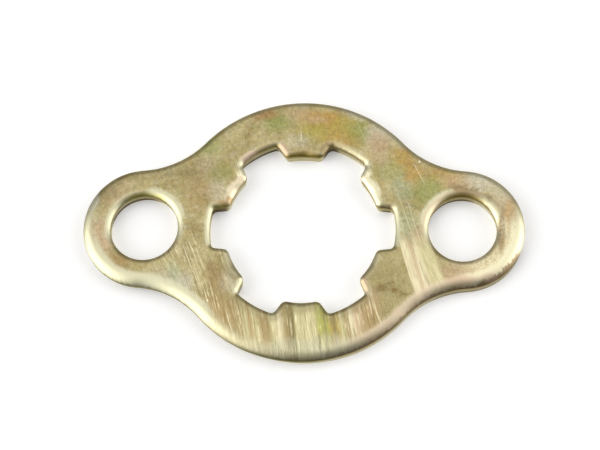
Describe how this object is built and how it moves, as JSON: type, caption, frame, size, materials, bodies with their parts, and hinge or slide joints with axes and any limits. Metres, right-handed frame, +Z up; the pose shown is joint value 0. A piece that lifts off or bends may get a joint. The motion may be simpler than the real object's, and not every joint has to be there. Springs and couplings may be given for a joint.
{
  "type": "lock plate",
  "caption": "Flat stamped ring with a toothed bore and a round, holed ear on each side; it locks a sprocket onto a splined shaft.",
  "frame": {"origin": "centre of the toothed bore, on the underside", "axes": "+X from the bore to one of the bolt holes, +Y across the ears, +Z up along the bore out of the face with the rounded edges"},
  "size_m": [0.0416, 0.0256, 0.0016],
  "materials": {
    "yellow_zinc": "yellow zinc plating over brushed sheet steel"
  },
  "bodies": {
    "root": {"lock_plate": "yellow_zinc"}
  },
  "joints": []
}
